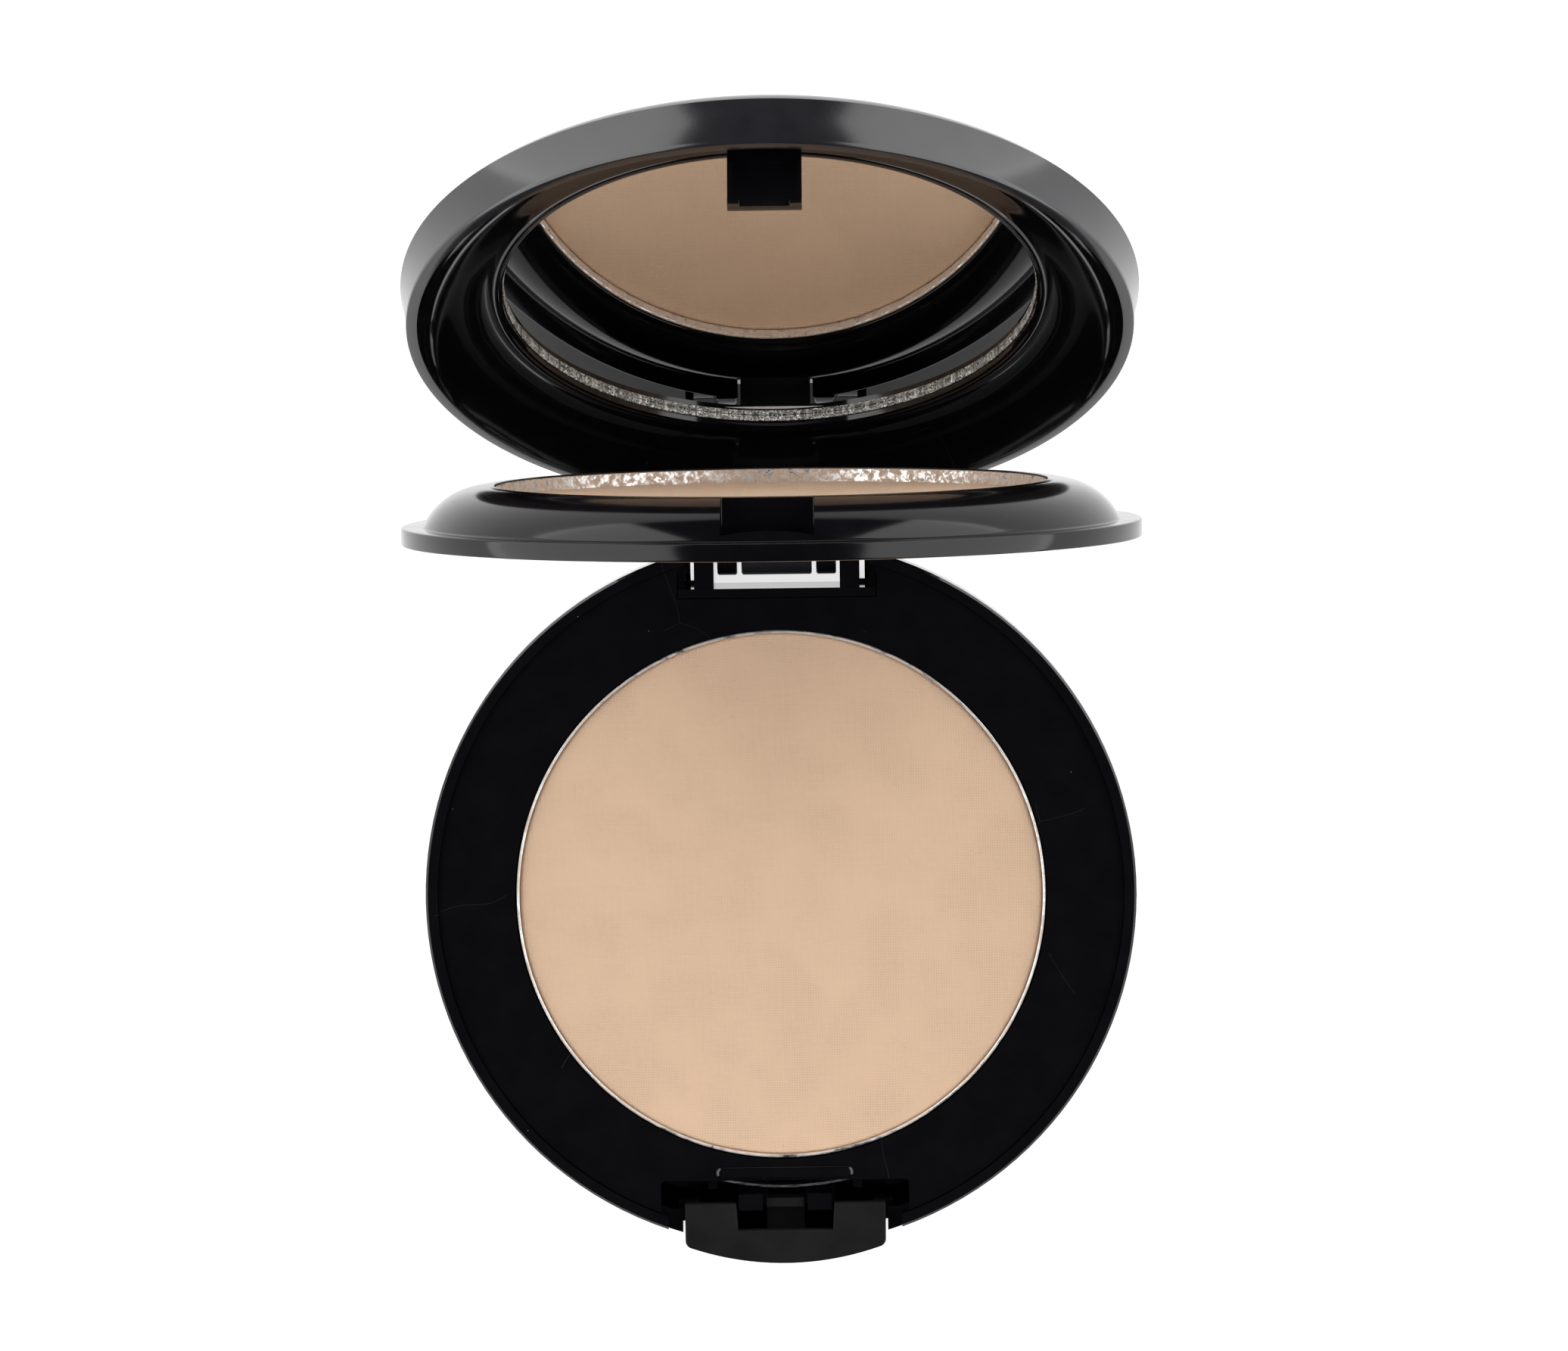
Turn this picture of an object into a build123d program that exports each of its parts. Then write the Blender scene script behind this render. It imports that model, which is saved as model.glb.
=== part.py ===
"""Three-deck powder compact: base and lower powder, swinging tray with the upper powder, mirror lid.

Millimetres. The origin is the centre of the base's underside, -Y is the push-button side, +Y the hinge
side, +Z up. Tray and lid are drawn closed, one above the other, and then swung open about the hinge.
"""

from build123d import *
import os
from math import sqrt

os.makedirs("parts", exist_ok=True)

# ---------------------------------------------------------------- driving dimensions
OUTER_R = 39.6  # the round case, outside
BASE_H = 11.0  # floor to the base's rim
DECK_GAP = 0.1  # between base, tray and lid when closed
TRAY_RIM_H = 1.9
DOME_FOOT_R = 37.2  # where the tray's dome rises from its flange
DOME_H = 4.3  # tray collar above the tray's flange
LID_H = 8.0

PAN_R = 29.5  # standard 59 mm powder pan
PAN_WALL = 0.35
PAN_SLACK = 0.15
BASE_POWDER_DROP = 0.4  # powder below the pan's rim
TRAY_POWDER_DROP = 1.35
BASE_PAN_H = 3.9
TRAY_PAN_H = 4.2

HINGE_Y = 38.9
HINGE_Z = BASE_H - 2.8
TRAY_OPEN = 90.0  # degrees from closed, as modelled
LID_OPEN = 122.0

# levels of the closed stack
TRAY_Z = BASE_H + DECK_GAP
FLANGE_Z = TRAY_Z + TRAY_RIM_H
COLLAR_Z = FLANGE_Z + DOME_H
LID_Z = FLANGE_Z + DECK_GAP
LID_TOP = LID_Z + LID_H
LID_ROOF_Z = LID_TOP - 1.2  # inside of the lid's top

# base
FLOOR_T = 1.4
SEAT_R = 38.25  # bore that the inner plate drops into
PLATE_R = 38.15
PLATE_TOP = BASE_H - 0.4
PLATE_T = 1.2
PLATE_CHORD = 33.1  # the plate stops at this straight edge in front of the hinge
WELL_FLOOR_Z = 5.2
WELL_T = 1.2
PUNCH_HOLE_R = 5.0  # hole under the pan, for pushing an empty pan out
REAR_NOTCH_X = 11.1  # half width of the plate's straight cut at the hinge
GLUE_RING_R = 18.0  # four spots of glue under each pan
GLUE_SPOT_R = 3.2
LABEL_R = 15.0
LABEL_T = 0.12

# hinge
PIN_R = 1.0
PIN_LEN = 18.2
BORE_R = 1.05
KNUCKLE_R = 3.3
EAR_R = 2.7
EAR_IN = 7.0
EAR_OUT = 9.2
POCKET_WALL = (10.2, 11.0)  # wall outside each ear, from and to
EAR_SLIT = (9.2, 9.75)  # slit right through the floor beside each ear
LID_KNUCKLE = 3.9  # half width of the lid's middle knuckle
TRAY_KNUCKLE = (4.4, 6.6)  # the tray's two knuckles, from and to
WINDOW_Y = 34.2

# front latch
RECESS_W = 27.7
RECESS_Y = -32.0
BUTTON_W = 22.4
BUTTON_FRONT = -41.35
BUTTON_SAG = 2.0  # how far the curved front falls back at its ends
BUTTON_TOP = BASE_H - 0.1
BUTTON_BOTTOM = 2.6
ARM_Y = -34.6
NOTCH_W = 11.1
NOTCH_Y = -37.6
BUTTON_WALL = 1.4
PUSHER_Y = -34.15
HOOK_W = 7.8
HOOK_Y = (-33.3, -32.3)  # outer and inner face
HOOK_TIP = BASE_H - 2.0
SLOT_W = 9.7
SLOT_Y = (-36.6, -30.3)
POST_X = (2.5, 5.2)  # catch posts of the latch
POST_LEDGE = 0.8
PEG_X = (7.6, 8.6)  # pegs for the leaf spring's ends
RIB_LEN = 15.4  # low rib behind the recess
RIB_W = 1.4
RIB_H = 0.45

# lid and mirror
LID_RIM_R = 39.2
LID_R = 39.85  # widest part of the lid, near its shoulder
LID_BORE = 38.0
LID_ROOF_R = 34.8
SKIRT_TOP = LID_Z + 5.0  # where the lid's bore starts to close in
FRAME_R = 37.95
MIRROR_R = 28.8
MIRROR_Z = LID_Z + 4.6
MIRROR_T = 1.3
TAPE_T = 0.2

HINGE_AXIS = Axis((0, HINGE_Y, HINGE_Z), (1, 0, 0))


def swung_open(piece, angle):
    """A closed piece turned about the hinge pin, front edge rising first."""
    return piece.rotate(HINGE_AXIS, -angle)


def block(x, y, z, mode=Mode.ADD):
    """A box from its ends along each axis, on the open builder."""
    with Locations(((x[0] + x[1]) / 2, (y[0] + y[1]) / 2, (z[0] + z[1]) / 2)):
        Box(x[1] - x[0], y[1] - y[0], z[1] - z[0], mode=mode)


def disc(radius, bottom, top, mode=Mode.ADD):
    """A flat round plate between two levels, on the open builder."""
    with Locations((0, 0, (bottom + top) / 2)):
        Cylinder(radius, top - bottom, mode=mode)


def knuckle(x_from, x_to, radius, mode=Mode.ADD):
    """A cylinder on the hinge axis, on the open builder."""
    with Locations(Location(((x_from + x_to) / 2, HINGE_Y, HINGE_Z), (0, 90, 0))):
        Cylinder(radius, x_to - x_from, mode=mode)


# ---------------------------------------------------------------- base
with BuildPart() as base_shell:
    with BuildSketch(Plane.XZ):
        with BuildLine():
            Line((0, 0), (36.2, 0))
            corner = ThreePointArc((36.2, 0), (38.5, 0.95), (39.35, 3.2))
            Polyline(
                corner @ 1,
                (OUTER_R, 6.5),
                (OUTER_R, BASE_H - 0.25),
                (OUTER_R - 0.25, BASE_H),
                (SEAT_R, BASE_H),
                (SEAT_R, PLATE_TOP - PLATE_T),
                (SEAT_R - 0.8, PLATE_TOP - PLATE_T),
                (SEAT_R - 0.8, 3.4),
                (36.0, FLOOR_T),
                (0, FLOOR_T),
                (0, 0),
            )
        make_face()
    revolve(axis=Axis.Z)
    # hinge block: a cross wall, two ears with a pocket wall outside each, and a gap right through
    for side in (-1, 1):
        ear = sorted((side * EAR_IN, side * EAR_OUT))
        block(ear, (WINDOW_Y - 1.0, HINGE_Y), (0.4, BASE_H - 0.5))
        knuckle(ear[0], ear[1], EAR_R)
        wall = sorted((side * POCKET_WALL[0], side * POCKET_WALL[1]))
        block(wall, (WINDOW_Y - 1.0, 37.6), (FLOOR_T - 0.2, BASE_H - 1.6))
        slot = sorted((side * EAR_OUT, side * POCKET_WALL[0]))
        block(slot, (WINDOW_Y, 40.5), (2.6, BASE_H + 1), mode=Mode.SUBTRACT)
        through = sorted((side * EAR_SLIT[0], side * EAR_SLIT[1]))
        block(through, (WINDOW_Y + 0.4, WINDOW_Y + 2.6), (-1, BASE_H), mode=Mode.SUBTRACT)
    block((-POCKET_WALL[1], POCKET_WALL[1]), (WINDOW_Y - 1.0, WINDOW_Y), (FLOOR_T - 0.2, PLATE_TOP))
    block((-EAR_IN, EAR_IN), (WINDOW_Y, 45), (-1, BASE_H + 1), mode=Mode.SUBTRACT)
    knuckle(-EAR_OUT - 0.5, EAR_OUT + 0.5, PIN_R + 0.01, mode=Mode.SUBTRACT)
    # front opening for the button, with a shallow step beside it
    step_x = RECESS_W / 2 - 0.8
    gate_x = BUTTON_W / 2 + 0.25
    block((-step_x, step_x), (-45, RECESS_Y), (PLATE_TOP - PLATE_T, 12), mode=Mode.SUBTRACT)
    block((-gate_x, gate_x), (-45, -35), (BUTTON_BOTTOM - 0.25, 12), mode=Mode.SUBTRACT)
    # guide ribs that keep the button straight, and the two catch posts of the latch
    for side in (-1, 1):
        rib = sorted((side * gate_x, side * (gate_x + 1.1)))
        block(rib, (-37.2, ARM_Y - 0.65), (FLOOR_T - 0.2, PLATE_TOP - PLATE_T))
        post = sorted((side * POST_X[0], side * POST_X[1]))
        block(post, (-35.4, -34.3), (FLOOR_T - 0.2, PLATE_TOP - 0.1))
        block(post, (-34.4, -33.6), (PLATE_TOP - 0.1 - POST_LEDGE, PLATE_TOP - 0.1))
        # pegs that hold the ends of the leaf spring
        peg = sorted((side * PEG_X[0], side * PEG_X[1]))
        block(peg, (-33.2, -31.7), (FLOOR_T - 0.2, 8.4))
    # recess for the blank label underneath
    disc(LABEL_R + 0.2, -1, LABEL_T + 0.01, mode=Mode.SUBTRACT)

with BuildPart() as base_plate:
    disc(PLATE_R, PLATE_TOP - PLATE_T, PLATE_TOP)
    disc(PAN_R + PAN_SLACK + WELL_T, WELL_FLOOR_Z, PLATE_TOP)
    disc(PAN_R + PAN_SLACK, WELL_FLOOR_Z + WELL_T, PLATE_TOP + 1, mode=Mode.SUBTRACT)
    disc(PUNCH_HOLE_R, 0, PLATE_TOP, mode=Mode.SUBTRACT)
    # straight rear edge, and the front recess with rounded inner corners
    block((-REAR_NOTCH_X, REAR_NOTCH_X), (PLATE_CHORD, 45), (0, 12), mode=Mode.SUBTRACT)
    with BuildSketch(Plane.XY):
        with Locations((0, RECESS_Y - 5)):
            RectangleRounded(RECESS_W, 10, 0.5)
    extrude(amount=12, mode=Mode.SUBTRACT)
    # low rib behind the recess that the tray rests against
    with BuildSketch(Plane.XY.offset(PLATE_TOP)):
        with Locations((0, -31.15)):
            SlotOverall(RIB_LEN, RIB_W)
    extrude(amount=RIB_H)
    fillet(base_plate.faces().sort_by(Axis.Z)[-1].edges(), RIB_H - 0.02)

with BuildPart() as base_glue_dots:
    with BuildSketch(Plane.XY.offset(WELL_FLOOR_Z + WELL_T)):
        with PolarLocations(GLUE_RING_R, 4, start_angle=45):
            Circle(GLUE_SPOT_R)
    extrude(amount=0.2)


def pan_outline(bottom, height):
    """Half section of a drawn metal pan, with a rolled bottom corner."""
    inside = PAN_R - PAN_WALL
    with BuildSketch(Plane.XZ) as outline:
        with BuildLine():
            Line((0, bottom), (PAN_R - 0.8, bottom))
            ThreePointArc((PAN_R - 0.8, bottom), (PAN_R - 0.23, bottom + 0.23), (PAN_R, bottom + 0.8))
            Polyline(
                (PAN_R, bottom + 0.8),
                (PAN_R, bottom + height - 0.1),
                (PAN_R - 0.1, bottom + height),
                (inside + 0.1, bottom + height),
                (inside, bottom + height - 0.1),
                (inside, bottom + 0.8),
            )
            ThreePointArc(
                (inside, bottom + 0.8),
                (inside - 0.13, bottom + PAN_WALL + 0.13),
                (inside - 0.45, bottom + PAN_WALL),
            )
            Polyline((inside - 0.45, bottom + PAN_WALL), (0, bottom + PAN_WALL), (0, bottom))
        make_face()
    return outline.sketch


def powder_outline(pan_bottom, top):
    """Half section of the powder cake: it fills the pan, with a soft upper edge."""
    inside = PAN_R - PAN_WALL - 0.01
    bottom = pan_bottom + PAN_WALL + 0.01
    with BuildSketch(Plane.XZ) as outline:
        with BuildLine():
            Polyline((0, bottom), (inside - 0.5, bottom), (inside, pan_bottom + 0.85), (inside, top - 0.35))
            ThreePointArc((inside, top - 0.35), (inside - 0.1, top - 0.1), (inside - 0.35, top))
            Polyline((inside - 0.35, top), (0, top), (0, bottom))
        make_face()
    return outline.sketch


BASE_PAN_Z = WELL_FLOOR_Z + WELL_T + 0.2
TRAY_PAN_Z = COLLAR_Z - 0.15 - TRAY_PAN_H

with BuildPart() as base_pan:
    revolve(pan_outline(BASE_PAN_Z, BASE_PAN_H), axis=Axis.Z)

with BuildPart() as base_powder:
    revolve(powder_outline(BASE_PAN_Z, BASE_PAN_Z + BASE_PAN_H - BASE_POWDER_DROP), axis=Axis.Z)

with BuildPart() as bottom_label:
    disc(LABEL_R, 0, LABEL_T)

with BuildPart() as hinge_pin:
    knuckle(-PIN_LEN / 2, PIN_LEN / 2, PIN_R)
    chamfer(hinge_pin.edges().filter_by(GeomType.CIRCLE), 0.15)

# ---------------------------------------------------------------- push button
BUTTON_X = BUTTON_W / 2
FRONT_R = (BUTTON_X**2 + BUTTON_SAG**2) / (2 * BUTTON_SAG)
FRONT_END = BUTTON_FRONT + BUTTON_SAG
INNER_R = FRONT_R - BUTTON_WALL
INNER_X = BUTTON_X - BUTTON_WALL
INNER_SAG = INNER_R - sqrt(INNER_R**2 - INNER_X**2)
INNER_FRONT = BUTTON_FRONT + BUTTON_WALL

with BuildPart() as push_button:
    with BuildSketch(Plane.XY.offset(BUTTON_BOTTOM)):
        with BuildLine():
            front = ThreePointArc((-BUTTON_X, FRONT_END), (0, BUTTON_FRONT), (BUTTON_X, FRONT_END))
            Polyline(front @ 1, (BUTTON_X, ARM_Y), (-BUTTON_X, ARM_Y), front @ 0)
        make_face()
    extrude(amount=BUTTON_TOP - BUTTON_BOTTOM)
    # hollow under the top, open towards the middle of the case
    with BuildSketch(Plane.XY.offset(BUTTON_BOTTOM - 1)):
        with BuildLine():
            inner = ThreePointArc(
                (-INNER_X, INNER_FRONT + INNER_SAG), (0, INNER_FRONT), (INNER_X, INNER_FRONT + INNER_SAG)
            )
            Polyline(inner @ 1, (INNER_X, ARM_Y + 1), (-INNER_X, ARM_Y + 1), inner @ 0)
        make_face()
    extrude(amount=BUTTON_TOP - 1.6 - BUTTON_BOTTOM + 1, mode=Mode.SUBTRACT)
    # notch in the top between the two arms, a little wider at its mouth
    with BuildSketch(Plane.XY.offset(BUTTON_BOTTOM)):
        Polygon(
            (-NOTCH_W / 2, ARM_Y + 1),
            (-NOTCH_W / 2 + 0.25, NOTCH_Y),
            (NOTCH_W / 2 - 0.25, NOTCH_Y),
            (NOTCH_W / 2, ARM_Y + 1),
            align=None,
        )
    extrude(amount=BUTTON_TOP, mode=Mode.SUBTRACT)
    vertical = push_button.edges().filter_by(Axis.Z).group_by(Axis.Y)
    fillet(vertical[0], 0.9)
    # tongue that reaches back to the hook and presses on it
    block((-2.1, 2.1), (INNER_FRONT - 0.2, PUSHER_Y), (5.4, 6.6))
    block((-2.1, 2.1), (PUSHER_Y - 0.95, PUSHER_Y), (5.4, PLATE_TOP - 0.9))
    # snap bumps that stop the button from falling out
    for side in (-1, 1):
        bump = sorted((side * (BUTTON_X - 0.5), side * (BUTTON_X + 0.8)))
        block(bump, (ARM_Y - 0.6, ARM_Y), (4.4, 7.2))
    top_edges = push_button.edges().group_by(Axis.Z)[-1]
    fillet(top_edges, 0.25)

with BuildPart() as button_spring:
    # bowed leaf of spring steel between the pegs and the tongue, drawn at its pressed length
    with BuildSketch(Plane.XY.offset(5.0)):
        with BuildLine():
            outer = ThreePointArc((-7.5, -32.35), (0, -33.25), (7.5, -32.35))
            back = ThreePointArc((7.5, -32.1), (0, -33.0), (-7.5, -32.1))
            Line(outer @ 1, back @ 0)
            Line(back @ 1, outer @ 0)
        make_face()
    extrude(amount=2.4)

# ---------------------------------------------------------------- tray
with BuildPart() as tray_shell:
    with BuildSketch(Plane.XZ):
        with BuildLine():
            Polyline(
                (38.1, TRAY_Z),
                (OUTER_R - 0.2, TRAY_Z),
                (OUTER_R, TRAY_Z + 0.2),
                (OUTER_R, FLANGE_Z - 0.25),
            )
            edge = ThreePointArc(
                (OUTER_R, FLANGE_Z - 0.25),
                (OUTER_R - 0.07, FLANGE_Z - 0.07),
                (OUTER_R - 0.25, FLANGE_Z),
            )
            Line(edge @ 1, (DOME_FOOT_R, FLANGE_Z))
            dome = ThreePointArc((DOME_FOOT_R, FLANGE_Z), (34.6, FLANGE_Z + 3.05), (30.25, COLLAR_Z - 0.08))
            Polyline(
                dome @ 1,
                (29.95, COLLAR_Z),
                (PAN_R + 0.05, COLLAR_Z),
                (PAN_R + 0.05, TRAY_Z + 1.2),
                (PAN_R + 1.2, TRAY_Z + 1.2),
                (PAN_R + 1.2, COLLAR_Z - 1.4),
                (34.2, FLANGE_Z + 1.9),
                (36.0, TRAY_Z + 1.5),
                (36.6, TRAY_Z + 1.1),
                (38.1, TRAY_Z + 1.1),
                (38.1, TRAY_Z),
            )
        make_face()
    revolve(axis=Axis.Z)
    block((-SLOT_W / 2, SLOT_W / 2), SLOT_Y, (TRAY_Z - 1, COLLAR_Z + 1), mode=Mode.SUBTRACT)
    for side in (-1, 1):
        leaf = sorted((side * TRAY_KNUCKLE[0], side * TRAY_KNUCKLE[1]))
        knuckle(leaf[0], leaf[1], KNUCKLE_R)
        block(leaf, (36.2, HINGE_Y + 0.4), (HINGE_Z, FLANGE_Z - 0.05))
    block((-4.2, 4.2), (35.3, 45), (HINGE_Z - 5, COLLAR_Z), mode=Mode.SUBTRACT)
    knuckle(-EAR_IN, EAR_IN, BORE_R, mode=Mode.SUBTRACT)

with BuildPart() as tray_bottom_plate:
    disc(38.0, TRAY_Z, TRAY_Z + 1.0)
    block((-SLOT_W / 2, SLOT_W / 2), SLOT_Y, (TRAY_Z - 1, TRAY_Z + 2), mode=Mode.SUBTRACT)
    block((-EAR_IN, EAR_IN), (35.3, 45), (TRAY_Z - 1, TRAY_Z + 2), mode=Mode.SUBTRACT)
    chamfer(tray_bottom_plate.edges().filter_by(GeomType.CIRCLE).group_by(Axis.Z)[0], 0.15)

with BuildPart() as tray_glue_dots:
    with BuildSketch(Plane.XY.offset(TRAY_Z + 1.0)):
        with PolarLocations(GLUE_RING_R, 4, start_angle=45):
            Circle(GLUE_SPOT_R)
    extrude(amount=TRAY_PAN_Z - TRAY_Z - 1.0)

with BuildPart() as tray_pan:
    revolve(pan_outline(TRAY_PAN_Z, TRAY_PAN_H), axis=Axis.Z)

with BuildPart() as tray_powder:
    revolve(powder_outline(TRAY_PAN_Z, TRAY_PAN_Z + TRAY_PAN_H - TRAY_POWDER_DROP), axis=Axis.Z)

# ---------------------------------------------------------------- lid
SHOULDER = (36.6, LID_TOP - 0.8)
CROWN_RISE = 0.4
CROWN_DROP = CROWN_RISE + 0.8  # from the middle of the domed top to its shoulder
CROWN_R = (SHOULDER[0] ** 2 + CROWN_DROP**2) / (2 * CROWN_DROP)

with BuildPart() as lid_shell:
    with BuildSketch(Plane.XZ):
        with BuildLine():
            Polyline((LID_BORE, LID_Z), (LID_RIM_R - 0.2, LID_Z), (LID_RIM_R, LID_Z + 0.2))
            side_wall = ThreePointArc((LID_RIM_R, LID_Z + 0.2), (39.44, LID_Z + 3.0), (LID_R, LID_Z + 5.0))
            shoulder = ThreePointArc(side_wall @ 1, (38.8, LID_Z + 6.05), SHOULDER)
            crown = RadiusArc(shoulder @ 1, (0, LID_TOP + CROWN_RISE), -CROWN_R)
            Polyline(
                crown @ 1,
                (0, LID_ROOF_Z),
                (LID_ROOF_R, LID_ROOF_Z),
                (LID_BORE, SKIRT_TOP),
                (LID_BORE, LID_Z),
            )
        make_face()
    revolve(axis=Axis.Z)
    knuckle(-LID_KNUCKLE, LID_KNUCKLE, KNUCKLE_R)
    block((-LID_KNUCKLE, LID_KNUCKLE), (36.2, HINGE_Y + 0.4), (HINGE_Z, LID_Z + 1.4))
    knuckle(-EAR_IN, EAR_IN, BORE_R, mode=Mode.SUBTRACT)

BEAD_Z = LID_Z + 4.3
MIRROR_BACK = MIRROR_Z + MIRROR_T + TAPE_T

with BuildPart() as lid_frame:
    with BuildSketch(Plane.XZ):
        with BuildLine():
            funnel = ThreePointArc((FRAME_R, LID_Z + 0.35), (35.2, LID_Z + 3.4), (30.4, BEAD_Z + 0.2))
            bead = ThreePointArc((30.0, BEAD_Z + 0.2), (29.6, BEAD_Z), (29.2, BEAD_Z + 0.2))
            Line(funnel @ 1, bead @ 0)
            Polyline(
                bead @ 1,
                (MIRROR_R + 0.12, BEAD_Z + 0.3),
                (MIRROR_R + 0.12, MIRROR_BACK),
                (0, MIRROR_BACK),
                (0, MIRROR_BACK + 0.6),
                (MIRROR_R + 1.2, MIRROR_BACK + 0.6),
                (MIRROR_R + 1.4, BEAD_Z + 1.5),
                (35.2, LID_Z + 4.7),
                (37.0, LID_Z + 3.2),
                (37.0, SKIRT_TOP - 0.1),
                (FRAME_R, SKIRT_TOP - 0.1),
                funnel @ 0,
            )
        make_face()
    revolve(axis=Axis.Z)
    # gap that the hinge arm stands in
    block((-4.0, 4.0), (36.1, 45), (LID_Z - 1, LID_Z + 1.5), mode=Mode.SUBTRACT)
    # latch hook at the front, its barbs facing outwards under the two catch posts
    block((-HOOK_W / 2, HOOK_W / 2), HOOK_Y, (HOOK_TIP, BEAD_Z + 0.6))
    for side in (-1, 1):
        barb = sorted((side * 2.6, side * HOOK_W / 2))
        block(barb, (HOOK_Y[0] - 0.6, HOOK_Y[0]), (HOOK_TIP, HOOK_TIP + 0.6))
    chamfer(lid_frame.edges().group_by(Axis.Z)[0].filter_by(Axis.X).sort_by(Axis.Y)[-1], 0.3)

with BuildPart() as mirror_glass:
    disc(MIRROR_R, MIRROR_Z, MIRROR_Z + MIRROR_T)
    chamfer(mirror_glass.edges().filter_by(GeomType.CIRCLE), 0.12)

with BuildPart() as mirror_tape:
    disc(MIRROR_R - 1.5, MIRROR_Z + MIRROR_T, MIRROR_BACK)

# ---------------------------------------------------------------- open the decks and write the pieces
for piece in (tray_shell, tray_bottom_plate, tray_glue_dots, tray_pan, tray_powder):
    piece.part = swung_open(piece.part, TRAY_OPEN)
for piece in (lid_shell, lid_frame, mirror_glass, mirror_tape):
    piece.part = swung_open(piece.part, LID_OPEN)

base_shell.part.label = "base_shell"
export_step(base_shell.part, "parts/base_shell.step")
base_plate.part.label = "base_plate"
export_step(base_plate.part, "parts/base_plate.step")
base_glue_dots.part.label = "base_glue_dots"
export_step(base_glue_dots.part, "parts/base_glue_dots.step")
base_pan.part.label = "base_pan"
export_step(base_pan.part, "parts/base_pan.step")
base_powder.part.label = "base_powder"
export_step(base_powder.part, "parts/base_powder.step")
bottom_label.part.label = "bottom_label"
export_step(bottom_label.part, "parts/bottom_label.step")
hinge_pin.part.label = "hinge_pin"
export_step(hinge_pin.part, "parts/hinge_pin.step")
push_button.part.label = "push_button"
export_step(push_button.part, "parts/push_button.step")
button_spring.part.label = "button_spring"
export_step(button_spring.part, "parts/button_spring.step")
tray_shell.part.label = "tray_shell"
export_step(tray_shell.part, "parts/tray_shell.step")
tray_bottom_plate.part.label = "tray_bottom_plate"
export_step(tray_bottom_plate.part, "parts/tray_bottom_plate.step")
tray_glue_dots.part.label = "tray_glue_dots"
export_step(tray_glue_dots.part, "parts/tray_glue_dots.step")
tray_pan.part.label = "tray_pan"
export_step(tray_pan.part, "parts/tray_pan.step")
tray_powder.part.label = "tray_powder"
export_step(tray_powder.part, "parts/tray_powder.step")
lid_shell.part.label = "lid_shell"
export_step(lid_shell.part, "parts/lid_shell.step")
lid_frame.part.label = "lid_frame"
export_step(lid_frame.part, "parts/lid_frame.step")
mirror_glass.part.label = "mirror_glass"
export_step(mirror_glass.part, "parts/mirror_glass.step")
mirror_tape.part.label = "mirror_tape"
export_step(mirror_tape.part, "parts/mirror_tape.step")
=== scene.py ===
"""Looks for the three-deck powder compact.

Camera, light, procedural materials, and finer meshes for the turned parts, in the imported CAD's frame.
Tray and lid are drawn closed, above the base, and then swung open about the hinge pin.
"""

import math

import bmesh
import bpy
from mathutils import Matrix, Vector


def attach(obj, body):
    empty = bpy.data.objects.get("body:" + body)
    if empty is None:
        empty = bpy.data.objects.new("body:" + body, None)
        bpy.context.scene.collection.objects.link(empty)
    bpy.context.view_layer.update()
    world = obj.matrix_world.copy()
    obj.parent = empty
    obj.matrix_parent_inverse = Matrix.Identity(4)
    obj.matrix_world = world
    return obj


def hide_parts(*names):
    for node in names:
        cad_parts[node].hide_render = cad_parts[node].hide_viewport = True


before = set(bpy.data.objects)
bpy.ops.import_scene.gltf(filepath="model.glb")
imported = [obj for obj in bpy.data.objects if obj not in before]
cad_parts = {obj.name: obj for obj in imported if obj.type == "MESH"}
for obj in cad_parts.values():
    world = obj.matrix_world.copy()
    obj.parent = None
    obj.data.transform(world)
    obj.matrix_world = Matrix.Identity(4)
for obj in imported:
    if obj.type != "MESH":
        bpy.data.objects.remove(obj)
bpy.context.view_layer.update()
scene = bpy.context.scene
scene.view_settings.view_transform = "Standard"

MM = 0.001

# ---------------------------------------------------------------- camera
CAMERA_PLACE = (0.0123277, 0.0967985, 0.9806835)
CAMERA_TURN = (-4.272879, 0.630203, -0.783879)  # degrees about x, y and z
CAMERA_LENS = 200.9
CAMERA_SENSOR = 36.0

camera_data = bpy.data.cameras.new("camera")
camera_data.lens = CAMERA_LENS
camera_data.sensor_width = CAMERA_SENSOR
camera_data.clip_start = 0.01
camera_data.clip_end = 20.0
camera = bpy.data.objects.new("camera", camera_data)
camera.location = CAMERA_PLACE
camera.rotation_euler = [math.radians(angle) for angle in CAMERA_TURN]
scene.collection.objects.link(camera)
scene.camera = camera

# ---------------------------------------------------------------- light, in metres
WORLD_COLOUR = (0.8, 0.88, 1.0, 1)
WORLD_STRENGTH = 0.04
WALL_X = 0.5
WALL_HIGH = 0.94
WALL_LIFT = 0.01
WALL_FROM = -0.42
WALL_TO = 1.05
SOFTBOX_RADIANCE = 3.0

world = bpy.data.worlds.new("studio")
scene.world = world
world.use_nodes = True
sky = world.node_tree.nodes["Background"]
sky.inputs["Color"].default_value = WORLD_COLOUR
sky.inputs["Strength"].default_value = WORLD_STRENGTH


def softbox(name, side):
    """A tall wall of light beside the object."""
    data = bpy.data.lights.new(name, "AREA")
    data.shape = "RECTANGLE"
    data.size = WALL_TO - WALL_FROM
    data.size_y = WALL_HIGH
    data.energy = math.pi * data.size * data.size_y * SOFTBOX_RADIANCE
    lamp = bpy.data.objects.new(name, data)
    scene.collection.objects.link(lamp)
    lamp.location = (side * WALL_X, (WALL_FROM + WALL_TO) / 2, WALL_HIGH / 2 + WALL_LIFT)
    lamp.rotation_euler = (math.pi / 2, 0, side * math.pi / 2)


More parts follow.
